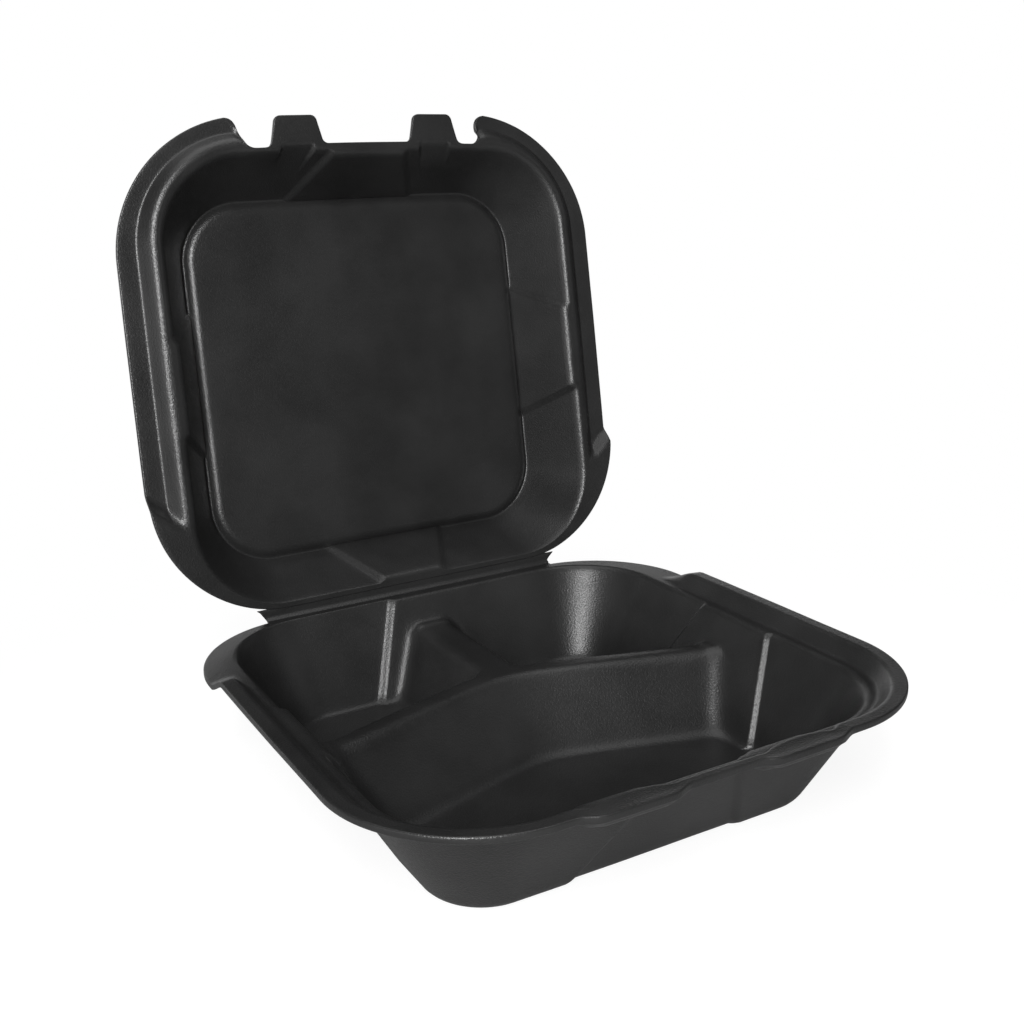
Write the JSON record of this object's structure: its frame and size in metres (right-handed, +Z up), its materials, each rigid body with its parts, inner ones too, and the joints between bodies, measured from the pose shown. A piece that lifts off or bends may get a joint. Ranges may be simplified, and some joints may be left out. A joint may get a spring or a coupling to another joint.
{
  "type": "hinged-lid compartment takeaway container",
  "caption": "Formed black foam takeaway container with a divided tray and a hinged lid with latch tabs, shown standing open.",
  "frame": {"origin": "on the table, under the middle of the front compartment, in the plane that halves the container left and right", "axes": "+X along the hinge, +Y from the front to the hinge, +Z up"},
  "size_m": [0.234, 0.2856, 0.2602],
  "materials": {
    "base_foam": "satin, fine foam grain",
    "lid_foam": "satin, fine foam grain"
  },
  "bodies": {
    "base": {"compartment_base": "base_foam"},
    "lid": {"hinged_lid": "lid_foam"}
  },
  "joints": [
    {"name": "lid_hinge", "type": "hinge", "parent": "base", "child": "lid", "pos_m": [0, 0.14685, 0.042], "axis": [1, 0, 0], "range_deg": [-81.3, 98.7]}
  ]
}
